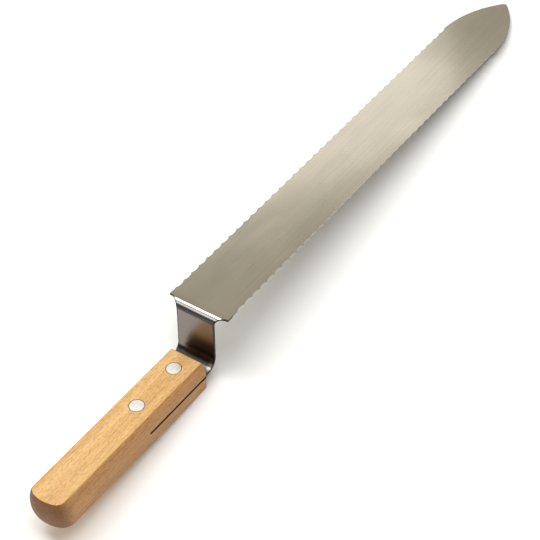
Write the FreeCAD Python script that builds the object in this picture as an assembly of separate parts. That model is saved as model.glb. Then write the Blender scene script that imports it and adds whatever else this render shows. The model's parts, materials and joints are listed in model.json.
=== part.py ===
import FreeCAD, Part
import math
import os

# Uncapping knife. One sheet of stainless steel, serrated on both edges and cranked twice, has
# its tang in a saw kerf in a beech handle, where two flush cutlery rivets hold it.
#
# The pieces are drawn with X from the butt to the tip, Y to the left and Z up: x = 0 is the
# heel of the blade and z = 0 its upper face. Last, rest_placement() lays the knife down as it
# lies on a table, on the tip of the blade and the front edge of the handle.

# blade
sheet = 1.2
blade_width = 40.0
blade_length = 334.0
taper_length = 42.6
taper_radius = 66.5
tip_radius = 2.4
tooth_pitch = 7.13
tooth_depth = 0.9
point_width = 0.5
left_first_tooth = 5.9
right_first_tooth = 8.7
edge_thickness = 0.35
bevel_width = 1.6

# crank and tang
crank_drop = 34.8
neck_width = 25.4
neck_lean = 3.3
ear_land = 0.9
upper_bend_radius = 3.5
lower_bend_radius = 6.7
shoulder_depth = 8.0
tang_width = 16.0
tang_corner_radius = 3.0
tang_past_rivet = 4.6

# handle
handle_gap = 1.6
handle_length = 127.0
handle_width = 26.8
top_face_width = 20.8
bottom_face_width = 25.4
leaf_height = 9.2
butt_belly = 1.6
kerf_clearance = 0.05
kerf_past_tang = 1.4
butt_end_radius = 22.0
butt_corner_radius = 8.0
front_rounding = 1.6

# rivets
first_rivet = 12.3
rivet_spacing = 33.2
head_radius = 4.3
head_height = 1.3
head_crown = 0.2
shank_radius = 2.5
pin_radius = 1.5
pin_clearance = 0.03
hole_clearance = 0.1
seat_clearance = 0.06
socket_floor = 1.5
end_gap = 0.6

V = FreeCAD.Vector
DOWN = V(0, 0, -1)

# places that follow from the sizes
half_blade = blade_width / 2
half_neck = neck_width / 2
half_handle = handle_width / 2
taper_start = blade_length - taper_length
lean = math.radians(neck_lean)
bend_angle = math.pi / 2 - lean
bend_radius = upper_bend_radius + sheet
bend_start = bend_radius * math.sin(ear_land / bend_radius)
upper_centre = V(bend_start, 0, -bend_radius)
lower_centre_z = lower_bend_radius - crank_drop
neck_top = upper_centre + V(-math.cos(lean), 0, math.sin(lean)) * bend_radius
neck_run = (neck_top.z - lower_centre_z + lower_bend_radius * math.sin(lean)) / math.cos(lean)
neck_bottom = neck_top - V(math.sin(lean), 0, math.cos(lean)) * neck_run
lower_centre = neck_bottom - V(math.cos(lean), 0, -math.sin(lean)) * lower_bend_radius
handle_front = lower_centre.x - handle_gap
butt = handle_front - handle_length
rivet_places = [handle_front - first_rivet, handle_front - first_rivet - rivet_spacing]
tang_end = rivet_places[-1] - tang_past_rivet
kerf_end = tang_end - kerf_past_tang
kerf_height = sheet + 2 * kerf_clearance
kerf_middle = -crank_drop - sheet / 2
handle_top = kerf_middle + leaf_height
handle_bottom = kerf_middle - leaf_height


def line(start, end):
    return Part.LineSegment(start, end).toShape()


def arc(start, middle, end):
    return Part.Arc(start, middle, end).toShape()


def on_circle(centre, radius, angle):
    """The point of a circle in the XZ plane, its angle counted from +X towards +Z."""
    return centre + V(math.cos(angle), 0, math.sin(angle)) * radius


def mirrored(points):
    return [V(p.x, -p.y, p.z) for p in points]


def path_of(points):
    """Straight lines through a list of points."""
    return [line(a, b) for a, b in zip(points, points[1:])]


def symmetric_face(left_half):
    """A face from its outline's left half, which starts and ends on the centre line."""
    right_half = [edge.mirror(V(0, 0, 0), V(0, 1, 0)) for edge in left_half]
    return Part.Face(Part.Wire(Part.__sortEdges__(left_half + right_half)))


def prism(edges, z, height):
    """A closed outline at height z, made a solid that reaches height further up."""
    face = Part.Face(Part.Wire(Part.__sortEdges__(edges)))
    face.translate(V(0, 0, z))
    return face.extrude(V(0, 0, height))


# the blade

def taper_arcs(inset):
    """The right-hand taper and tip: taper start, a point half-way, its end, and the tip."""
    tip_centre = V(blade_length - tip_radius, 0, 0)
    start = V(taper_start, -half_blade, 0)
    reach = tip_centre - start
    inner = taper_radius - tip_radius
    along = (taper_radius**2 - inner**2 + reach.Length**2) / (2 * reach.Length)
    across = math.sqrt(taper_radius**2 - along**2)
    unit = reach / reach.Length
    centre = start + unit * along + V(-unit.y, unit.x, 0) * across
    radius = taper_radius - inset
    side = centre.y + half_blade - inset
    first = V(centre.x + math.sqrt(radius**2 - side**2), inset - half_blade, 0)
    outward = (tip_centre - centre).normalize()
    last = centre + outward * radius
    middle = ((first - centre).normalize() + outward).normalize()
    tip = V(blade_length - inset, 0, 0)
    return first, centre + middle * radius, last, tip


def plain_outline(inset, start):
    """The blade's outline with straight sides, from x = start to the tip."""
    first, middle, last, tip = taper_arcs(inset)
    side = half_blade - inset
    last_left, middle_left, first_left = mirrored([last, middle, first])
    return [
        line(V(start, side, 0), V(start, -side, 0)),
        line(V(start, -side, 0), first),
        arc(first, middle, last),
        arc(last, tip, last_left),
        arc(last_left, middle_left, first_left),
        line(first_left, V(start, side, 0)),
    ]


def toothed_side(first_tooth, side):
    """One long edge: a plain land, then narrow points with a hollow between each two."""
    count = int((taper_start - point_width / 2 - first_tooth) / tooth_pitch) + 1
    hollow = side - math.copysign(tooth_depth, side)
    edges = []
    place = V(bend_start, side, 0)
    for tooth in range(count):
        middle = first_tooth + tooth * tooth_pitch
        near = V(middle - point_width / 2, side, 0)
        far = V(middle + point_width / 2, side, 0)
        if tooth == 0:
            edges.append(line(place, near))
        else:
            edges.append(arc(place, V(middle - tooth_pitch / 2, hollow, 0), near))
        edges.append(line(near, far))
        place = far
    edges.append(line(place, V(taper_start, side, 0)))
    return edges


def make_blade_flat():
    """The serrated flat, its edges ground to a narrow bevel on the underside."""
    taper = plain_outline(0, bend_start)[2:5]
    heel = line(V(bend_start, half_blade, 0), V(bend_start, -half_blade, 0))
    right = toothed_side(right_first_tooth, -half_blade)
    left = toothed_side(left_first_tooth, half_blade)
    flat = prism([heel, *right, *taper, *left], -sheet, sheet)
    bevel_start = left_first_tooth - point_width / 2
    rim = Part.Wire(plain_outline(0, bevel_start))
    rim.translate(DOWN * edge_thickness)
    sole = Part.Wire(plain_outline(bevel_width, bevel_start))
    sole.translate(DOWN * sheet)
    ground = Part.makeLoft([rim, sole], True, True)
    waste = prism(plain_outline(0, bevel_start), -sheet, sheet - edge_thickness)
    return flat.cut(waste.cut(ground))


def developed(distance):
    """The place on the crank's upper face, this far round the bend from the heel line."""
    turn = (ear_land + distance) / bend_radius
    if turn <= bend_angle:
        return on_circle(upper_centre, bend_radius, math.pi / 2 + turn)
    past = (turn - bend_angle) * bend_radius
    return neck_top - V(math.sin(lean), 0, math.cos(lean)) * past


def neck_prism():
    """What the neck keeps. In the flat sheet a quarter circle joins each ear to the neck, and
    this prism has that outline as the bent sheet shows it, seen square to the bend's middle."""
    slope = math.pi / 2 + bend_angle / 2
    out = V(math.cos(slope), 0, math.sin(slope))
    down = V(-out.z, 0, out.x)
    ear_radius = half_blade - half_neck
    curve = []
    for step in range(13):
        angle = math.pi / 2 * step / 12
        seen = down * developed(ear_radius * (1 - math.cos(angle))).dot(down)
        curve.append(seen + V(0, half_neck + ear_radius * (1 - math.sin(angle)), 0))
    ear = Part.BSplineCurve()
    ear.interpolate(Points=curve, InitialTangent=V(0, -1, 0), FinalTangent=down)
    top = down * -bend_radius
    end = down * (V(tang_end, 0, -crank_drop).dot(down) + sheet)
    side = V(0, blade_width, 0)
    heel = V(curve[0].x, 0, curve[0].z)
    face = symmetric_face([
        *path_of([top, top + side, heel + side, curve[0]]),
        ear.toShape(),
        *path_of([curve[-1], end + V(0, half_neck, 0), end]),
    ])
    reach = crank_drop + handle_length
    face.translate(out * -reach)
    return face.extrude(out * 2 * reach)


def tang_prism():
    """What the tang keeps in plan: full width as far as its shoulders, then narrow."""
    shoulder = handle_front - shoulder_depth
    half_tang = tang_width / 2
    r = tang_corner_radius
    turn = r * math.sqrt(0.5)
    start = V(2 * bend_radius, 0, 0)
    root = V(shoulder - r, half_tang + r, 0)
    corner = V(tang_end + r, half_tang - r, 0)
    face = symmetric_face([
        *path_of([start, start + V(0, blade_width, 0), V(shoulder, blade_width, 0), root + V(r, 0, 0)]),
        arc(root + V(r, 0, 0), root + V(turn, -turn, 0), root - V(0, r, 0)),
        line(root - V(0, r, 0), corner + V(0, r, 0)),
        arc(corner + V(0, r, 0), corner + V(-turn, turn, 0), corner - V(r, 0, 0)),
        line(corner - V(r, 0, 0), V(tang_end, 0, 0)),
    ])
    face.translate(DOWN * 2 * crank_drop)
    return face.extrude(V(0, 0, 4 * crank_drop))


def make_crank():
    """The upper bend, neck, lower bend and tang: upper faces cut to shape, then thickened."""
    upper_middle = on_circle(upper_centre, bend_radius, math.pi / 2 + bend_angle / 2)
    lower_middle = on_circle(lower_centre, lower_bend_radius, -lean - bend_angle / 2)
    tang_start = V(lower_centre.x, 0, -crank_drop)
    path = Part.Wire([
        arc(V(bend_start, 0, 0), upper_middle, neck_top),
        line(neck_top, neck_bottom),
        arc(neck_bottom, lower_middle, tang_start),
        line(tang_start, V(tang_end, 0, -crank_drop)),
    ])
    path.translate(V(0, -half_blade, 0))
    faces = path.extrude(V(0, blade_width, 0)).common(neck_prism()).common(tang_prism())
    upper_face = Part.makeShell(faces.Faces)
    upper_face.sewShape()
    crank = upper_face.makeOffsetShape(-sheet, 1e-4, fill=True)
    for place in rivet_places:
        start = V(place, 0, -crank_drop - 2 * sheet)
        crank = crank.cut(Part.makeCylinder(shank_radius + hole_clearance, 4 * sheet, start))
    return crank


def make_blade():
    return make_blade_flat().fuse(make_crank()).removeSplitter().Solids[0]


# the handle

def barrel_inset(belly, height):
    """How far a barrelled side has curved in, this far above or below its widest place."""
    barrel = (leaf_height**2 + belly**2) / (2 * belly)
    return barrel - math.sqrt(barrel**2 - height**2)


def handle_outline(height):
    """The handle's outline this far above or below the kerf, its sides and butt barrelled."""
    face_width = top_face_width if height > 0 else bottom_face_width
    inset = barrel_inset(half_handle - face_width / 2, height)
    side = half_handle - inset
    corner_radius = butt_corner_radius - inset
    butt_end = butt + barrel_inset(butt_belly, height)
    end_centre = V(butt_end + butt_end_radius, 0, 0)
    corner_y = side - corner_radius
    reach = math.sqrt((butt_end_radius - corner_radius)**2 - corner_y**2)
    corner_centre = end_centre + V(-reach, corner_y, 0)
    outward = (corner_centre - end_centre).normalize()
    meet = corner_centre + outward * corner_radius
    side_end = V(corner_centre.x, side, 0)
    halfway = corner_centre + (outward + V(0, 1, 0)).normalize() * corner_radius
    front = V(handle_front, side, 0)
    left_half = [line(front, side_end), arc(side_end, halfway, meet)]
    right_half = [edge.mirror(V(0, 0, 0), V(0, 1, 0)) for edge in left_half]
    end = arc(meet, V(butt_end, 0, 0), V(meet.x, -meet.y, 0))
    face = line(front, V(handle_front, -side, 0))
    outline = Part.Wire(Part.__sortEdges__([*left_half, end, *right_half, face]))
    outline.translate(V(0, 0, kerf_middle + height))
    return outline


def make_handle():
    """One block with flat faces, barrelled sides and a round butt, sawn from the front end."""
    heights = [leaf_height * step / 4 for step in range(-4, 5)]
    block = Part.makeLoft([handle_outline(height) for height in heights], True, False)
    front = [edge for edge in block.Edges if edge.BoundBox.XMin > handle_front - 0.01]
    block = block.makeFillet(front_rounding, front)
    kerf = Part.makeBox(handle_length, 2 * handle_width, kerf_height)
    kerf.translate(V(kerf_end, -handle_width, kerf_middle - kerf_height / 2))
    block = block.cut(kerf)
    for place in rivet_places:
        foot = V(place, 0, handle_bottom)
        block = block.cut(Part.makeCylinder(shank_radius + hole_clearance, 2 * leaf_height, foot))
        for z in (handle_top - head_height, handle_bottom):
            seat = Part.makeCylinder(head_radius + seat_clearance, head_height, V(place, 0, z))
            block = block.cut(seat)
    return block.Solids[0]


# the rivets

def crowned_head():
    """A rivet head, its seat at z = 0 and its face very slightly domed."""
    head = Part.makeCylinder(head_radius, head_height)
    dome_radius = (head_radius**2 + head_crown**2) / (2 * head_crown)
    dome = Part.makeSphere(dome_radius, V(0, 0, head_height + head_crown - dome_radius))
    above = Part.makeCylinder(head_radius, head_crown, V(0, 0, head_height))
    return head.fuse(dome.common(above)).removeSplitter()


def make_rivet(place):
    """The two halves of a cutlery rivet, both heads seated. The pin is as long as the bore is
    deep, so end_gap is left at both of its ends."""
    between_seats = 2 * (leaf_height - head_height)
    socket_length = between_seats - end_gap
    bore_length = socket_length - socket_floor
    shank = Part.makeCylinder(shank_radius, socket_length, V(0, 0, -socket_length))
    bore = Part.makeCylinder(pin_radius + pin_clearance, bore_length, V(0, 0, -socket_length))
    socket = crowned_head().fuse(shank).cut(bore).removeSplitter()
    socket.translate(V(place, 0, handle_top - head_height))
    pin_shank = Part.makeCylinder(pin_radius, bore_length, V(0, 0, -bore_length))
    pin = crowned_head().fuse(pin_shank)
    pin = pin.removeSplitter()
    pin.rotate(V(0, 0, 0), V(1, 0, 0), 180)
    pin.translate(V(place, 0, handle_bottom + head_height))
    return socket.Solids[0], pin.Solids[0]


# the knife at rest

def rest_placement(pieces):
    """Nose down on the tip of the blade's underside and the handle's rounded front edge."""
    edge_centre = V(handle_front - front_rounding, 0, handle_bottom + front_rounding)
    tip = V(blade_length - bevel_width, 0, -sheet)
    reach = tip - edge_centre
    tilt = math.atan2(reach.z, reach.x) + math.asin(front_rounding / math.hypot(reach.x, reach.z))
    turn = FreeCAD.Rotation(V(0, 1, 0), math.degrees(tilt))
    laid = Part.makeCompound(list(pieces.values()))
    laid.Placement = FreeCAD.Placement(V(0, 0, 0), turn)
    box = laid.optimalBoundingBox(False, False)
    shift = V(-(box.XMin + box.XMax) / 2, 0, -turn.multVec(tip).z)
    return FreeCAD.Placement(shift, turn)


pieces = {"blade": make_blade(), "handle": make_handle()}
for name, place in zip(("front", "rear"), rivet_places):
    socket, pin = make_rivet(place)
    pieces[name + "_rivet_socket"] = socket
    pieces[name + "_rivet_pin"] = pin

rest = rest_placement(pieces)
os.makedirs("parts", exist_ok=True)
for name, piece in pieces.items():
    piece.Placement = rest.multiply(piece.Placement)
    piece.exportStep("parts/" + name + ".step")
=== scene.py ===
import json
import math

import bmesh
import bpy
from mathutils import Matrix, Vector


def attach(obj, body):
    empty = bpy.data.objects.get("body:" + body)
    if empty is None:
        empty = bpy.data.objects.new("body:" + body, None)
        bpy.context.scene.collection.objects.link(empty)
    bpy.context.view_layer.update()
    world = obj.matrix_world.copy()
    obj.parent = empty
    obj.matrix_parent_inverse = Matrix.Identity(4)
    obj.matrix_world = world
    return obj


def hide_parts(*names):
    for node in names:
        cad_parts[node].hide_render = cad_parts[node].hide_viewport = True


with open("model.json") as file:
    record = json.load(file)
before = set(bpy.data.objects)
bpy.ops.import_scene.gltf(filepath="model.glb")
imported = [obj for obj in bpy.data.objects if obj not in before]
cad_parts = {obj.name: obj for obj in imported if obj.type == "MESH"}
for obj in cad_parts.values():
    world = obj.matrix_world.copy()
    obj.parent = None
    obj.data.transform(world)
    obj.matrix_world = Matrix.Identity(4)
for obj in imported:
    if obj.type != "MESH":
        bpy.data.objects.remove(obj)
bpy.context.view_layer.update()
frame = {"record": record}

# The blade is one sheet of satin stainless steel. It is blanked flat, serrated along both edges,
# folded down at the heel and forward again into a tang, and ground to a bevel underneath. It is
# modelled straight, its heel at x = 0 and its upper face at z = 0, and laid down as it rests.
sheet = 0.0012
blade_length = 0.334
half_blade = 0.020
half_neck = 0.0127
taper_start = 0.2914
taper_radius = 0.0665
tip_radius = 0.0024
crank_drop = 0.0348
neck_lean = math.radians(3.3)
ear_land = 0.0009
ear_radius = half_blade - half_neck
upper_radius = 0.0047
lower_radius = 0.0067
handle_gap = 0.0016
shoulder_depth = 0.008
half_tang = 0.008
tang_corner = 0.003
rivet_from_front = 0.0123
rivet_spacing = 0.0332
tang_past_rivet = 0.0046
rivet_hole_radius = 0.0026
tooth_pitch = 0.00713
tooth_depth = 0.0009
tooth_point = 0.0005
first_teeth = {1: 0.0059, -1: 0.0087}
bevel_width = 0.0016
bevel_run_out = 0.002
edge_thickness = 0.00035
burr = 0.00008

bend_angle = math.pi / 2 - neck_lean
bend_start = upper_radius * math.sin(ear_land / upper_radius)
upper_arc = upper_radius * bend_angle
lower_arc = lower_radius * bend_angle
bends_drop = (upper_radius + lower_radius) * (1 - math.sin(neck_lean))
neck_run = (crank_drop - bends_drop) / math.cos(neck_lean)
bends_reach = (upper_radius + lower_radius) * math.cos(neck_lean)
tang_start = bend_start - bends_reach - neck_run * math.sin(neck_lean)
handle_front = tang_start - handle_gap
rivet_places = [handle_front - rivet_from_front, handle_front - rivet_from_front - rivet_spacing]
tang_end = rivet_places[-1] - tang_past_rivet

blade_top = next(m for m in frame["record"]["mounts"] if m["name"] == "blade_top")
mount_from_heel = 0.150
tilt = math.atan2(blade_top["axis"][0], blade_top["axis"][2])
along_blade = Vector((math.cos(tilt), 0, -math.sin(tilt)))
heel = Vector(blade_top["pos_m"]) - along_blade * mount_from_heel


def start_edit(piece, kind="VERT"):
    """Selects one piece alone and opens its mesh."""
    bpy.ops.object.select_all(action="DESELECT")
    bpy.context.view_layer.objects.active = piece
    piece.select_set(True)
    bpy.ops.object.mode_set(mode="EDIT")
    bpy.ops.mesh.select_mode(type=kind)


def end_edit():
    bpy.ops.object.mode_set(mode="OBJECT")


def pick(kind, chosen):
    """In the open mesh, selects only the verts, edges or faces that chosen says yes to."""
    bpy.ops.mesh.select_all(action="DESELECT")
    mesh = bmesh.from_edit_mesh(bpy.context.edit_object.data)
    for item in getattr(mesh, kind):
        if chosen(item):
            item.select_set(True)
    mesh.select_flush_mode()
    bmesh.update_edit_mesh(bpy.context.edit_object.data)


def new_piece(name):
    piece = bpy.context.object
    piece.name = name
    piece.data.name = name
    return piece


def finish_with(piece, kind, **settings):
    """Adds a modifier to a piece and applies it."""
    bpy.ops.object.select_all(action="DESELECT")
    bpy.context.view_layer.objects.active = piece
    piece.select_set(True)
    modifier = piece.modifiers.new(kind.lower(), kind)
    for setting, value in settings.items():
        setattr(modifier, setting, value)
    bpy.ops.object.modifier_apply(modifier=modifier.name)


def cut(piece, tool):
    """Takes the tool's shape out of the piece."""
    finish_with(piece, "BOOLEAN", operation="DIFFERENCE", solver="EXACT", object=tool)
    bpy.data.objects.remove(tool)


def lay_down(piece):
    """Turns and moves a finished piece to where the knife rests."""
    bpy.ops.object.select_all(action="DESELECT")
    bpy.context.view_layer.objects.active = piece
    piece.select_set(True)
    piece.rotation_euler = (0, tilt, 0)
    piece.location = heel
    bpy.ops.object.transform_apply(location=True, rotation=True, scale=True)


def taper_rows():
    """The curved taper and the rounded tip, as places across the blade with half widths."""
    tip_centre = Vector((blade_length - tip_radius, 0, 0))
    start = Vector((taper_start, -half_blade, 0))
    reach = tip_centre - start
    inner = taper_radius - tip_radius
    near = (taper_radius**2 - inner**2 + reach.length**2) / (2 * reach.length)
    aside = math.sqrt(taper_radius**2 - near**2)
    unit = reach.normalized()
    centre = start + unit * near + Vector((-unit.y, unit.x, 0)) * aside
    first = math.atan2(start.x - centre.x, centre.y - start.y)
    last = math.atan2(tip_centre.x - centre.x, centre.y)
    rows = []
    for step in range(1, 21):
        angle = first + (last - first) * step / 20
        x = centre.x + taper_radius * math.sin(angle)
        rows.append((Vector((x, 0, 0)), taper_radius * math.cos(angle) - centre.y))
    for step in range(1, 9):
        angle = last + (math.pi / 2 - last) * step / 8
        x = tip_centre.x + tip_radius * math.sin(angle)
        rows.append((Vector((x, 0, 0)), max(tip_radius * math.cos(angle), 0.00001)))
    return rows


def place_on_crank(distance):
    """The sheet's upper face, this far past the start of the upper bend."""
    turn = min(distance / upper_radius, bend_angle)
    x = bend_start - upper_radius * math.sin(turn)
    z = -upper_radius * (1 - math.cos(turn))
    past = min(max(distance - upper_arc, 0), neck_run)
    x -= past * math.sin(neck_lean)
    z -= past * math.cos(neck_lean)
    turn = min(max(distance - upper_arc - neck_run, 0) / lower_radius, bend_angle)
    x -= lower_radius * (math.cos(neck_lean) - math.cos(neck_lean + turn))
    z -= lower_radius * (math.sin(neck_lean + turn) - math.sin(neck_lean))
    past = max(distance - upper_arc - neck_run - lower_arc, 0)
    return Vector((x - past, 0, z))


def crank_rows():
    """From the heel down: ears, neck, lower bend, and a tang that narrows behind shoulders."""
    rows = [(place_on_crank(ear_land / 2), half_blade), (place_on_crank(ear_land), half_blade)]
    for step in range(1, 25):
        angle = math.pi / 2 * step / 24
        distance = ear_land + ear_radius * (1 - math.cos(angle))
        rows.append((place_on_crank(distance), half_blade - ear_radius * math.sin(angle)))
    rows.append((place_on_crank(upper_arc + neck_run), half_neck))
    for step in range(1, 17):
        distance = upper_arc + neck_run + lower_arc * step / 16
        rows.append((place_on_crank(distance), half_neck))
    shoulder = handle_front - shoulder_depth
    rows.append((Vector((shoulder + burr, 0, -crank_drop)), half_neck))
    for step in range(7):
        angle = math.pi / 2 * step / 6
        x = shoulder - tang_corner * math.sin(angle)
        rows.append((Vector((x, 0, -crank_drop)), half_tang + tang_corner * math.cos(angle)))
    for step in range(7):
        angle = math.pi / 2 * step / 6
        x = tang_end + tang_corner * (1 - math.sin(angle))
        width = half_tang - tang_corner * (1 - math.cos(angle))
        rows.append((Vector((x, 0, -crank_drop)), width))
    return rows


def extend_sheet(place, half_width, rows):
    """Pulls the sheet's end edge out to each of the rows in turn."""
    pick("verts", lambda v: abs(v.co.x - place.x) < 1e-6)
    for row_place, row_half_width in rows:
        bpy.ops.mesh.extrude_region_move(TRANSFORM_OT_translate={"value": row_place - place})
        grow = row_half_width / half_width
        bpy.ops.transform.resize(value=(1, grow, 1), center_override=(0, 0, 0))
        place, half_width = row_place, row_half_width


def paint(piece, *materials):
    piece.data.materials.clear()
    for material in materials:
        piece.data.materials.append(material)


def make_blade(*finishes):
    ground_start = first_teeth[1] - tooth_point / 2
    bpy.ops.object.select_all(action="DESELECT")
    middle = (taper_start + ground_start) / 2
    bpy.ops.mesh.primitive_plane_add(size=1, location=(middle, 0, 0))
    blade = new_piece("steel_blade")
    blade.scale = (taper_start - ground_start, 2 * half_blade, 1)
    bpy.ops.object.transform_apply(location=True, rotation=True, scale=True)
    start_edit(blade)
    extend_sheet(Vector((taper_start, 0, 0)), half_blade, taper_rows())
    bpy.ops.mesh.merge(type="CENTER")
    run_out = Vector((ground_start - bevel_run_out, 0, 0))
    heelward = [(run_out, half_blade), (Vector((bend_start, 0, 0)), half_blade), *crank_rows()]
    extend_sheet(Vector((ground_start, 0, 0)), half_blade, heelward)
    end_edit()
    paint(blade, *finishes)
    finish_with(
        blade, "SOLIDIFY", thickness=sheet, offset=-1, use_even_offset=True, material_offset_rim=1
    )

    start_edit(blade, "FACE")
    pick("faces", lambda f: f.normal.z < -0.99 and f.calc_center_median().x > run_out.x)
    bpy.ops.mesh.inset(thickness=bevel_width, depth=0)
    half_widths = {round(place.x, 6): half for place, half in taper_rows()}

    def is_lower_edge(v):
        side = half_widths.get(round(v.co.x, 6), half_blade)
        low = abs(v.co.z + sheet) < 1e-6 and v.co.x > run_out.x + 1e-6
        return low and (abs(v.co.y) > side - 1e-5 or v.co.x > blade_length - 1e-5)

    pick("verts", is_lower_edge)
    bpy.ops.transform.translate(value=(0, 0, sheet - edge_thickness))
    end_edit()
    finish_with(blade, "BEVEL", width=burr, segments=1, limit_method="ANGLE", angle_limit=0.8)
    return blade


def new_material(name, **settings):
    """A material with its shader's sockets set, returned with its node tree and shader."""
    material = bpy.data.materials.new(name)
    material.use_nodes = True
    shader = material.node_tree.nodes["Principled BSDF"]
    for socket, value in settings.items():
        shader.inputs[socket.replace("_", " ")].default_value = value
    return material, material.node_tree, shader


def add_node(tree, kind, inputs=(), **settings):
    """Adds a node, sets its values and links or fills its inputs."""
    node = tree.nodes.new(kind)
    for setting, value in settings.items():
        setattr(node, setting, value)
    for socket, value in dict(inputs).items():
        if isinstance(value, bpy.types.NodeSocket):
            tree.links.new(value, node.inputs[socket])
        else:
            node.inputs[socket].default_value = value
    return node


def straight_place(tree):
    """Object coordinates, turned back to lie along the knife and across it."""
    place = add_node(tree, "ShaderNodeTexCoord")
    laid = add_node(
        tree, "ShaderNodeVectorMath", {0: place.outputs["Object"], 1: heel}, operation="SUBTRACT"
    )
    turned = add_node(
        tree, "ShaderNodeMapping", {"Vector": laid.outputs[0], "Rotation": (0, -tilt, 0)}
    )
    return turned.outputs[0]


def noise(tree, place, scale, detail=2.0, roughness=0.5):
    """Noise whose grain is this many spots to the metre along the knife, across it and up."""
    stretched = add_node(tree, "ShaderNodeMapping", {"Vector": place, "Scale": scale})
    node = add_node(
        tree, "ShaderNodeTexNoise",
        {"Vector": stretched.outputs[0], "Scale": 1.0, "Detail": detail, "Roughness": roughness},
    )
    return node.outputs["Fac"]


def ramp(tree, factor, stops):
    """Colours or greys at places along a factor from 0 to 1."""
    node = add_node(tree, "ShaderNodeValToRGB", {"Fac": factor})
    elements = node.color_ramp.elements
    while len(elements) < len(stops):
        elements.new(0.5)
    for element, (position, colour) in zip(elements, stops):
        element.position = position
        element.color = (*colour, 1) if isinstance(colour, tuple) else (colour, colour, colour, 1)
    return node.outputs["Color"]


def blend(tree, factor, first, second, how="MIX"):
    """Two colours mixed, or multiplied, by a factor from 0 to 1."""
    node = add_node(
        tree, "ShaderNodeMix", {"Factor": factor, "A": first, "B": second},
        data_type="RGBA", blend_type=how,
    )
    return node.outputs["Result"]


def soft_step(tree, value, start, end):
    """0 at start and 1 at end, smoothly."""
    return add_node(
        tree, "ShaderNodeMapRange", {"Value": value, "From Min": start, "From Max": end},
        interpolation_type="SMOOTHSTEP",
    ).outputs[0]


def sum_of(tree, how, first, second=0.0):
    """One Math node's result."""
    return add_node(tree, "ShaderNodeMath", {0: first, 1: second}, operation=how).outputs[0]


neck_top = 0.0030
neck_full = 0.0046
# Heights and side of the bands across the bends: a dark painted reflection on the upper bend and
# painted shade on the lower bend.
upper_dark_reflection_heights = (-0.0022, -0.0034, -0.0040, -0.0050)
lower_painted_shade_heights = (-0.0300, -0.0320)
lower_painted_shade_side = (-0.0115, -0.0090)
# Widths of the thin dark line beside the neck's sides and the ears' edges.
dark_line_outer = 0.0003
dark_line_inner = 0.0011
ear_dark_line_outer = 0.0003
ear_dark_line_inner = 0.0007


def painted_bend_reflection_tone(tree, axes, tone):
    """Bands across the bends, over the steel's own tone: a dark painted reflection on the upper
    bend and painted shade on the lower bend, short of its right corner.
    """
    start, full, fading, end = upper_dark_reflection_heights
    upper_dark_reflection = sum_of(
        tree, "MULTIPLY", soft_step(tree, axes.outputs["Z"], start, full),
        soft_step(tree, axes.outputs["Z"], end, fading),
    )
    # Painted reflection: the upper bend darkened in a band where it mirrors a dark part of the
    # room.
    tone = blend(tree, upper_dark_reflection, tone, (0.07, 0.07, 0.072, 1))
    lower_painted_shade = sum_of(
        tree, "MULTIPLY", soft_step(tree, axes.outputs["Z"], *lower_painted_shade_heights),
        soft_step(tree, axes.outputs["Y"], *lower_painted_shade_side),
    )
    # Painted shade: the lower bend darkened where it mirrors the handle's shaded front, short of
    # its right corner.
    return blend(tree, lower_painted_shade, tone, (0.07, 0.065, 0.06, 1))


def dark_line_edge_tone(tree, axes, neck, tone):
    """The dark line beside a sheared edge: down the neck's sides and round the ears."""
    side = sum_of(tree, "ABSOLUTE", axes.outputs["Y"])
    dark_line = soft_step(tree, side, half_neck - dark_line_inner, half_neck - dark_line_outer)
    tone = blend(tree, sum_of(tree, "MULTIPLY", dark_line, neck), tone, (0.10, 0.10, 0.10, 1))
    back = sum_of(tree, "SUBTRACT", bend_start, axes.outputs["X"])
    below = sum_of(tree, "ADD", axes.outputs["Z"], upper_radius)
    along = sum_of(tree, "MULTIPLY", sum_of(tree, "ARCTAN2", back, below), upper_radius)
    along = sum_of(tree, "SUBTRACT", along, ear_land + ear_radius)
    across = sum_of(tree, "SUBTRACT", side, half_blade)
    corner = add_node(tree, "ShaderNodeCombineXYZ", {"X": along, "Y": across})
    out = add_node(tree, "ShaderNodeVectorMath", {0: corner.outputs[0]}, operation="LENGTH")
    ear_edge = soft_step(
        tree, out.outputs["Value"], ear_radius + ear_dark_line_inner, ear_radius + ear_dark_line_outer
    )
    return blend(tree, ear_edge, tone, (0.04, 0.04, 0.04, 1))


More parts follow.
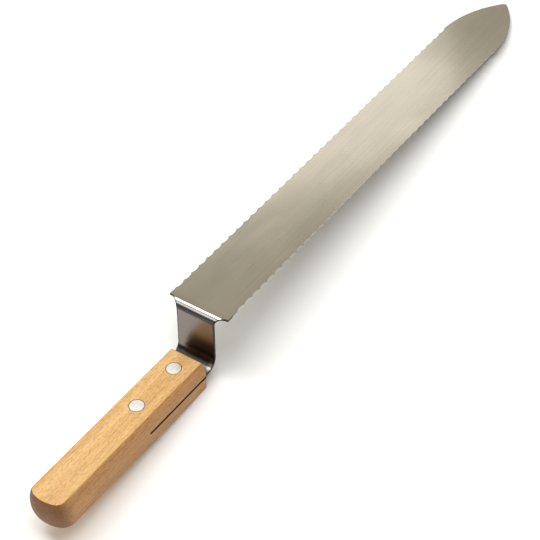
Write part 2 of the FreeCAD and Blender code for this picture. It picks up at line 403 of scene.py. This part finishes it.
def satin_stainless():
    """Rolled lengthways and duller in the folded neck. The neck's colour is darkened there as
    painted shade, and bands across the bends are painted reflection and shade.
    """
    material, tree, shader = new_material("satin_stainless", Metallic=1.0)
    place = straight_place(tree)
    axes = add_node(tree, "ShaderNodeSeparateXYZ", {0: place})
    grain = noise(tree, place, (60, 5000, 5000), 3)
    clouds = noise(tree, place, (22, 40, 40), 2)
    tone = ramp(tree, clouds, [(0.3, (0.403, 0.377, 0.342)), (0.7, (0.457, 0.426, 0.388))])
    streaks = ramp(tree, noise(tree, place, (9, 900, 900), 2), [(0.3, 0.96), (0.7, 1.02)])
    tone = blend(tree, 1.0, tone, streaks, "MULTIPLY")
    neck = soft_step(tree, axes.outputs["Z"], -neck_top, -neck_full)
    # Painted shade: the neck's colour darkened, for the shaded table and handle front that it
    # mirrors.
    tone = blend(tree, neck, tone, (0.232, 0.204, 0.187, 1))
    tone = painted_bend_reflection_tone(tree, axes, tone)
    tone = dark_line_edge_tone(tree, axes, neck, tone)
    tree.links.new(tone, shader.inputs["Base Color"])
    dull = ramp(tree, grain, [(0.3, 0.08), (0.7, 0.12)])
    dull = blend(tree, neck, dull, (0.27, 0.27, 0.27, 1))
    tree.links.new(dull, shader.inputs["Roughness"])
    waves = noise(tree, place, (14, 30, 30), 1)
    bump = add_node(tree, "ShaderNodeBump", {"Height": waves, "Strength": 0.2, "Distance": 0.0004})
    fine = add_node(
        tree, "ShaderNodeBump",
        {"Height": grain, "Strength": 0.03, "Distance": 0.00005, "Normal": bump.outputs[0]},
    )
    tree.links.new(fine.outputs[0], shader.inputs["Normal"])
    return material


def sheared_steel():
    """The thickness of the sheet where the die cut it: half torn, and darker."""
    material, tree, shader = new_material("sheared_steel", Metallic=1.0)
    place = straight_place(tree)
    tears = noise(tree, place, (1500, 1500, 400), 2)
    tone = ramp(tree, tears, [(0.35, (0.018, 0.018, 0.018)), (0.65, (0.07, 0.067, 0.063))])
    tree.links.new(tone, shader.inputs["Base Color"])
    tree.links.new(ramp(tree, tears, [(0.3, 0.35), (0.7, 0.55)]), shader.inputs["Roughness"])
    return material


blade = make_blade(satin_stainless(), sheared_steel())

wheel_chord = tooth_pitch - tooth_point
wheel_radius = (wheel_chord**2 / 4 + tooth_depth**2) / (2 * tooth_depth)
for side, first in first_teeth.items():
    hollows = int((taper_start - tooth_point / 2 - first) / tooth_pitch)
    wheel_y = side * (half_blade - tooth_depth + wheel_radius)
    wheel_x = first + tooth_pitch / 2
    bpy.ops.mesh.primitive_cylinder_add(
        vertices=160, radius=wheel_radius, depth=6 * sheet, location=(wheel_x, wheel_y, 0)
    )
    wheel = new_piece("serrating_wheel")
    start_edit(wheel)
    bpy.ops.mesh.select_all(action="SELECT")
    trim = (wheel_x, side * (half_blade + burr), 0)
    bpy.ops.mesh.bisect(plane_co=trim, plane_no=(0, side, 0), clear_outer=True, use_fill=True)
    end_edit()
    spacing = (tooth_pitch, 0, 0)
    finish_with(
        wheel, "ARRAY", count=hollows, use_relative_offset=False, use_constant_offset=True,
        constant_offset_displace=spacing,
    )
    cut(blade, wheel)
for place in rivet_places:
    bpy.ops.mesh.primitive_cylinder_add(
        vertices=48, radius=rivet_hole_radius, depth=6 * sheet, location=(place, 0, -crank_drop)
    )
    cut(blade, new_piece("drill"))

lay_down(blade)
bpy.ops.object.shade_smooth_by_angle(angle=math.radians(20))
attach(blade, "root")
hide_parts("blade")

# The handle is one block of beech, planed flat above and below, its sides and butt barrelled on a
# spindle. A saw kerf from the front end takes the tang, and the rivets' seats are counterbored.
handle_length = 0.127
leaf_height = 0.0092
half_handle = 0.0134
half_top_face = 0.0104
half_bottom_face = 0.0127
butt_belly = 0.0016
butt_end_radius = 0.022
butt_corner = 0.008
front_rounding = 0.0016
arris_rounding = 0.0006
kerf_clearance = 0.00005
kerf_past_tang = 0.0014
head_radius = 0.0043
head_height = 0.0013
seat_clearance = 0.00006
levels_each_way = 5
kerf_middle = -crank_drop - sheet / 2
butt = handle_front - handle_length


def barrel_inset(belly, height):
    """How far a barrelled side has curved in, this far above or below its widest place."""
    barrel = (leaf_height**2 + belly**2) / (2 * belly)
    return barrel - math.sqrt(barrel**2 - height**2)


def handle_rows(height):
    """The block's plan at this height from the kerf: x and half width, front to butt."""
    half_face = half_top_face if height > 0 else half_bottom_face
    inset = barrel_inset(half_handle - half_face, height)
    corner = butt_corner - inset
    butt_x = butt + barrel_inset(butt_belly, height)
    corner_y = half_handle - butt_corner
    reach = math.sqrt((butt_end_radius - corner) ** 2 - corner_y**2)
    corner_x = butt_x + butt_end_radius - reach
    end_angle = math.asin(corner_y / (butt_end_radius - corner))
    rows = [(handle_front, half_handle - inset), (corner_x, half_handle - inset)]
    for step in range(1, 9):
        angle = (math.pi / 2 - end_angle) * step / 8
        rows.append((corner_x - corner * math.sin(angle), corner_y + corner * math.cos(angle)))
    for step in range(1, 7):
        angle = end_angle * (1 - step / 6)
        x = butt_x + butt_end_radius * (1 - math.cos(angle))
        rows.append((x, max(butt_end_radius * math.sin(angle), 0.00002)))
    return rows


def make_handle():
    middle_rows = handle_rows(0)
    bpy.ops.object.select_all(action="DESELECT")
    straight = middle_rows[0][0] - middle_rows[1][0]
    centre = ((middle_rows[0][0] + middle_rows[1][0]) / 2, 0, kerf_middle)
    bpy.ops.mesh.primitive_plane_add(size=1, location=centre)
    handle = new_piece("beech_handle")
    handle.scale = (straight, 2 * half_handle, 1)
    bpy.ops.object.transform_apply(location=True, rotation=True, scale=True)
    start_edit(handle)
    rows = [(Vector((x, 0, kerf_middle)), half) for x, half in middle_rows]
    extend_sheet(*rows[1], rows[2:])
    for way in (1, -1):
        last = middle_rows
        pick("faces", lambda f: abs(f.calc_center_median().z - kerf_middle) < 1e-6)
        for level in range(1, levels_each_way + 1):
            height = way * leaf_height * level / levels_each_way
            rise = way * leaf_height / levels_each_way
            bpy.ops.mesh.extrude_region_move(TRANSFORM_OT_translate={"value": (0, 0, rise)})
            rows = handle_rows(height)
            z = kerf_middle + height
            for (old_x, old_half), (x, half) in zip(last, rows):
                pick("verts", lambda v: abs(v.co.z - z) < 1e-6 and abs(v.co.x - old_x) < 1e-6)
                bpy.ops.transform.resize(value=(1, half / old_half, 1), center_override=(0, 0, 0))
                bpy.ops.transform.translate(value=(x - old_x, 0, 0))
            last = rows
            pick("faces", lambda f: abs(f.calc_center_median().z - z) < 1e-6)
    bpy.ops.mesh.select_all(action="SELECT")
    bpy.ops.mesh.remove_doubles(threshold=0.0001)
    bpy.ops.mesh.select_mode(type="FACE")
    for way in (1, -1):
        face_z = kerf_middle + way * leaf_height
        pick("faces", lambda f: all(abs(v.co.z - face_z) < 1e-6 for v in f.verts))
        bpy.ops.mesh.dissolve_faces()
    pick("faces", lambda f: all(abs(v.co.x - handle_front) < 1e-6 for v in f.verts))
    bpy.ops.mesh.dissolve_faces()
    end_edit()
    return handle


def soften(piece, weights):
    """Rounds the edges that each test picks: the first by its full radius, others by less."""
    start_edit(piece, "EDGE")
    for weight, chosen in weights:
        pick("edges", chosen)
        bpy.ops.transform.edge_bevelweight(value=weight)
    end_edit()


def on_front(edge):
    return all(abs(v.co.x - handle_front) < 1e-6 for v in edge.verts)


def on_rim(edge):
    level = all(abs(abs(v.co.z - kerf_middle) - leaf_height) < 1e-6 for v in edge.verts)
    return level and edge.calc_face_angle() > 0.6 and not on_front(edge)


def cylinder_tool(radius, depth, place):
    bpy.ops.mesh.primitive_cylinder_add(vertices=64, radius=radius, depth=depth, location=place)
    return new_piece("cutter")


handle = make_handle()
soften(handle, [
    (1.0, lambda e: on_front(e) and e.calc_face_angle() > 0.6),
    (arris_rounding / front_rounding, on_rim),
])
finish_with(handle, "BEVEL", width=front_rounding, segments=5, limit_method="WEIGHT")
kerf_end = tang_end - kerf_past_tang
kerf_height = sheet + 2 * kerf_clearance
bpy.ops.mesh.primitive_cube_add(size=1, location=(kerf_end + handle_length / 2, 0, kerf_middle))
saw = new_piece("saw")
saw.scale = (handle_length, 4 * half_handle, kerf_height)
bpy.ops.object.transform_apply(location=True, rotation=True, scale=True)
cut(handle, saw)
for place in rivet_places:
    cut(handle, cylinder_tool(rivet_hole_radius, 4 * leaf_height, (place, 0, kerf_middle)))
    for way in (1, -1):
        face = (place, 0, kerf_middle + way * leaf_height)
        cut(handle, cylinder_tool(head_radius + seat_clearance, 2 * head_height, face))
lay_down(handle)
bpy.ops.object.shade_smooth_by_angle(angle=math.radians(25))


# Where a handle face turns from upright, its colour darkens as painted shade on the sides. The
# butt darkens over the reach below, partly for its end grain and partly as painted shade.
side_shade_facing = (0.97, 0.80)
end_grain_and_shade_start = 0.013
end_grain_and_shade_full = 0.002
# How far the painted shade of the saw kerf reaches beside it, and how it fades at the kerf's end.
kerf_shade_outer = 0.0003
kerf_shade_inner = 0.0001
kerf_shade_fade = 0.0004
# Width of the darker ring on the wood round each rivet head.
rivet_ring_outer = 0.0006
rivet_ring_inner = 0.0001


def darken(tree, factor, tone, share):
    """The tone times a share of each colour, where the factor is 1."""
    return blend(tree, factor, tone, blend(tree, 1.0, tone, (*share, 1), "MULTIPLY"))


def side_and_butt_shade_tone(tree, axes, tone):
    """Painted shade on the sides, which get less light than the top and bottom faces, and a darker
    butt: partly its end grain and partly painted shade.
    """
    facing = add_node(tree, "ShaderNodeTexCoord")
    up = (math.sin(tilt), 0, math.cos(tilt))
    upright = add_node(
        tree, "ShaderNodeVectorMath", {0: facing.outputs["Normal"], 1: up}, operation="DOT_PRODUCT"
    )
    side_shade = soft_step(tree, sum_of(tree, "ABSOLUTE", upright.outputs["Value"]), *side_shade_facing)
    # Painted shade: the sides darker than the top and bottom.
    tone = darken(tree, side_shade, tone, (0.69, 0.575, 0.48))
    at_butt = soft_step(tree, axes.outputs["X"], butt + end_grain_and_shade_start, butt + end_grain_and_shade_full)
    # The butt darker still: partly its end grain, partly painted shade.
    return darken(tree, sum_of(tree, "MULTIPLY", side_shade, at_butt), tone, (0.48, 0.39, 0.33))


def cut_tone(tree, axes, tone):
    """Painted shade in and beside the saw kerf, and darker in a ring round each rivet."""
    off_kerf = sum_of(tree, "ABSOLUTE", sum_of(tree, "SUBTRACT", axes.outputs["Z"], kerf_middle))
    wall = kerf_height / 2
    # Painted shade: the kerf's walls and the faces beside its mouth darkened, where the saw cut
    # lies in shade.
    kerf_shade = soft_step(tree, off_kerf, wall + kerf_shade_outer, wall + kerf_shade_inner)
    reached = soft_step(tree, axes.outputs["X"], kerf_end - kerf_shade_fade, kerf_end)
    tone = blend(tree, sum_of(tree, "MULTIPLY", kerf_shade, reached), tone, (0.06, 0.025, 0.012, 1))
    from_rivet = sum_of(tree, "SUBTRACT", axes.outputs["X"], sum(rivet_places) / 2)
    from_rivet = sum_of(tree, "SUBTRACT", sum_of(tree, "ABSOLUTE", from_rivet), rivet_spacing / 2)
    out = add_node(tree, "ShaderNodeCombineXYZ", {"X": from_rivet, "Y": axes.outputs["Y"]})
    out = add_node(tree, "ShaderNodeVectorMath", {0: out.outputs[0]}, operation="LENGTH")
    # Darker in a thin ring on the wood round each rivet head.
    in_rivet_ring = soft_step(
        tree, out.outputs["Value"], head_radius + rivet_ring_outer, head_radius + rivet_ring_inner
    )
    return darken(tree, in_rivet_ring, tone, (0.30, 0.24, 0.20))


def oiled_beech():
    """Figured along its length, with fine fibre, open pores and short ray flecks."""
    material, tree, shader = new_material("oiled_beech", IOR=1.46)
    place = straight_place(tree)
    axes = add_node(tree, "ShaderNodeSeparateXYZ", {0: place})
    figure = noise(tree, place, (7, 130, 90), 3)
    fibre = noise(tree, place, (70, 1500, 1500), 4, 0.6)
    rays = noise(tree, place, (420, 2300, 2300), 1)
    pores = noise(tree, place, (260, 5200, 5200), 2)
    tone = ramp(tree, figure, [(0.32, (0.60, 0.355, 0.135)), (0.66, (0.73, 0.465, 0.205))])
    streak = ramp(tree, fibre, [(0.3, (0.80, 0.76, 0.70)), (0.7, (1.12, 1.12, 1.12))])
    tone = blend(tree, 1.0, tone, streak, "MULTIPLY")
    dark_ray = (0.78, 0.68, 0.58)
    pale_ray = (1.15, 1.17, 1.2)
    fleck = ramp(tree, rays, [(0.36, dark_ray), (0.44, 1.0), (0.64, 1.0), (0.72, pale_ray)])
    tone = blend(tree, 1.0, tone, fleck, "MULTIPLY")
    tone = side_and_butt_shade_tone(tree, axes, tone)
    tone = cut_tone(tree, axes, tone)
    tree.links.new(tone, shader.inputs["Base Color"])
    dull = ramp(tree, fibre, [(0.3, 0.58), (0.7, 0.42)])
    tree.links.new(dull, shader.inputs["Roughness"])
    raised = add_node(
        tree, "ShaderNodeBump", {"Height": fibre, "Strength": 0.25, "Distance": 0.00015}
    )
    pitted = add_node(
        tree, "ShaderNodeBump",
        {"Height": pores, "Strength": 0.2, "Distance": 0.0001, "Normal": raised.outputs[0]},
    )
    tree.links.new(pitted.outputs[0], shader.inputs["Normal"])
    return material


paint(handle, oiled_beech())
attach(handle, "root")
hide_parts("handle")

# Two aluminium cutlery rivets hold the leaves to the tang. Each is turned in two halves: a head
# with a hollow shank from above, and a head with a solid pin from below, pressed into it.
shank_radius = 0.0025
pin_radius = 0.0015
pin_clearance = 0.00003
head_crown = 0.0002
head_edge = 0.00015
socket_floor = 0.0015
end_gap = 0.0006
socket_length = 2 * (leaf_height - head_height) - end_gap
bore_length = socket_length - socket_floor
dome_radius = (head_radius**2 + head_crown**2) / (2 * head_crown)


def turn_piece(name, profile):
    """A disc, extruded and resized from one (radius, height) of its profile to the next."""
    radius, height = profile[0]
    bpy.ops.object.select_all(action="DESELECT")
    bpy.ops.mesh.primitive_circle_add(vertices=64, radius=radius, fill_type="NGON")
    piece = new_piece(name)
    start_edit(piece, "FACE")
    bpy.ops.mesh.select_all(action="SELECT")
    bpy.ops.transform.translate(value=(0, 0, height))
    for next_radius, next_height in profile[1:]:
        rise = (0, 0, next_height - height)
        bpy.ops.mesh.extrude_region_move(TRANSFORM_OT_translate={"value": rise})
        grow = next_radius / radius
        bpy.ops.transform.resize(value=(grow, grow, 1), center_override=(0, 0, 0))
        radius, height = next_radius, next_height
    bpy.ops.mesh.select_all(action="SELECT")
    bpy.ops.mesh.normals_make_consistent(inside=False)
    end_edit()
    return piece


def head_profile():
    """A rivet head from its seat up to the middle of its slightly domed face."""
    rim = head_height - head_edge
    rows = [(head_radius, 0), (head_radius, rim)]
    crown_centre = head_height + head_crown - dome_radius
    for step in range(8):
        radius = (head_radius - head_edge) * (1 - step / 8)
        rows.append((radius, crown_centre + math.sqrt(dome_radius**2 - radius**2)))
    return rows


def bright_aluminium():
    """Linished with the handle, so its scratches run across the heads, with a cloudy bloom."""
    material, tree, shader = new_material("linished_aluminium", Metallic=1.0)
    place = straight_place(tree)
    bloom = noise(tree, place, (700, 700, 700), 3, 0.6)
    tone = ramp(tree, bloom, [(0.32, (0.80, 0.81, 0.84)), (0.66, (0.93, 0.94, 0.97))])
    tree.links.new(tone, shader.inputs["Base Color"])
    scratches = noise(tree, place, (250, 9000, 250), 2)
    tree.links.new(ramp(tree, scratches, [(0.3, 0.34), (0.7, 0.44)]), shader.inputs["Roughness"])
    bump = add_node(
        tree, "ShaderNodeBump", {"Height": scratches, "Strength": 0.15, "Distance": 0.00004}
    )
    tree.links.new(bump.outputs[0], shader.inputs["Normal"])
    return material


aluminium = bright_aluminium()
socket_shank = [
    (pin_radius + pin_clearance, -socket_floor), (pin_radius + pin_clearance, -socket_length),
    (shank_radius, -socket_length), (shank_radius, 0),
]
pin_shank = [(pin_radius, -bore_length), (pin_radius, 0)]
halves = [("socket", socket_shank, 1), ("pin", pin_shank, -1)]
for end, place in zip(("front", "rear"), rivet_places):
    for half, shank, way in halves:
        rivet = turn_piece(f"{end}_rivet_{half}_turned", [*shank, *head_profile()])
        if way < 0:
            rivet.rotation_euler = (math.pi, 0, 0)
        rivet.location = (place, 0, kerf_middle + way * (leaf_height - head_height))
        bpy.ops.object.transform_apply(location=True, rotation=True, scale=True)
        lay_down(rivet)
        bpy.ops.object.shade_smooth_by_angle(angle=math.radians(30))
        paint(rivet, aluminium)
        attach(rivet, "root")
        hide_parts(f"{end}_rivet_{half}")

# The studio: a pale table under a long soft box, with a small one behind the handle for the bend,
# in a dim room with a pale screen beyond the tip, which the blade mirrors, and one dark corner.
floor_size = 6.0
bpy.ops.object.select_all(action="DESELECT")
bpy.ops.mesh.primitive_plane_add(size=floor_size, location=(0, 0, 0))
floor = new_piece("floor")
paint(floor, new_material("white_table", Base_Color=(0.9, 0.9, 0.9, 1), Roughness=0.9)[0])


def aim(thing, place, target, roll=0.0):
    """Puts a light or the camera at a place, looking at its target."""
    look = Vector(target) - Vector(place)
    turned = look.to_track_quat("-Z", "Y").to_matrix() @ Matrix.Rotation(roll, 3, "Z")
    thing.location = place
    thing.rotation_euler = turned.to_euler()


def soft_box(name, radiance, size, place, target):
    """An area light of a given brightness as seen from in front."""
    light = bpy.data.lights.new(name, "AREA")
    light.shape = "RECTANGLE"
    light.size, light.size_y = size
    light.energy = radiance * math.pi * size[0] * size[1]
    lamp = bpy.data.objects.new(name, light)
    bpy.context.scene.collection.objects.link(lamp)
    aim(lamp, place, target)


soft_box("overhead", 5.9, (0.53, 1.8), (-0.10, 0.05, 1.3), (-0.10, 0.05, 0))
soft_box("back_fill", 1.2, (0.40, 0.40), (-0.745, 0.566, 0.876), tuple(heel))

world = bpy.data.worlds.new("dim_room")
bpy.context.scene.world = world
world.use_nodes = True
world_tree = world.node_tree
direction = add_node(world_tree, "ShaderNodeTexCoord").outputs["Generated"]


def seen_toward(vector, start, end):
    """How far a direction of the room lies between two planes: 0 at start and 1 at end."""
    along = add_node(
        world_tree, "ShaderNodeVectorMath", {0: direction, 1: vector}, operation="DOT_PRODUCT"
    )
    return soft_step(world_tree, along.outputs["Value"], start, end)


pale_side = (0.839, 0.545, 0)
dark_corner = (-0.862, 0.498, 0.087)
screen = (0.719, 0.437, 0.540)
screen_heel_edge = (0.867, 2.330, -2.763)
screen_tip_edge = (1.119, -0.722, -0.745)
dim_tone = (0.42, 0.41, 0.40, 1)
pale_tone = (0.67, 0.64, 0.515, 1)
screen_tone = (1.8, 1.76, 1.56, 1)
corner_tone = (0.15, 0.15, 0.155, 1)
lit = sum_of(
    world_tree, "MULTIPLY", seen_toward(screen_heel_edge, 0.0, 0.07),
    seen_toward(screen_tip_edge, 0.182, 0.158),
)
lit = sum_of(world_tree, "MULTIPLY", lit, seen_toward(screen, 0.978, 0.9945))
room = blend(world_tree, seen_toward(pale_side, -0.1, 0.6), dim_tone, pale_tone)
room = blend(world_tree, lit, room, screen_tone)
room = blend(world_tree, seen_toward(dark_corner, 0.86, 0.95), room, corner_tone)
world_tree.links.new(room, world_tree.nodes["Background"].inputs["Color"])

camera_azimuth = math.radians(42.42)
camera_elevation = math.radians(48.9)
camera_roll = math.radians(10.0)
camera_distance = 1.1217
camera_target = Vector((-0.0248, 0.0055, 0))
level = math.cos(camera_elevation)
sight = Vector((
    level * math.cos(camera_azimuth), level * math.sin(camera_azimuth), -math.sin(camera_elevation)
))
camera = bpy.data.objects.new("camera", bpy.data.cameras.new("camera"))
bpy.context.scene.collection.objects.link(camera)
camera.data.lens = 127.43
aim(camera, camera_target - sight * camera_distance, camera_target, -camera_roll)
bpy.context.scene.camera = camera
bpy.context.scene.view_settings.view_transform = "Standard"
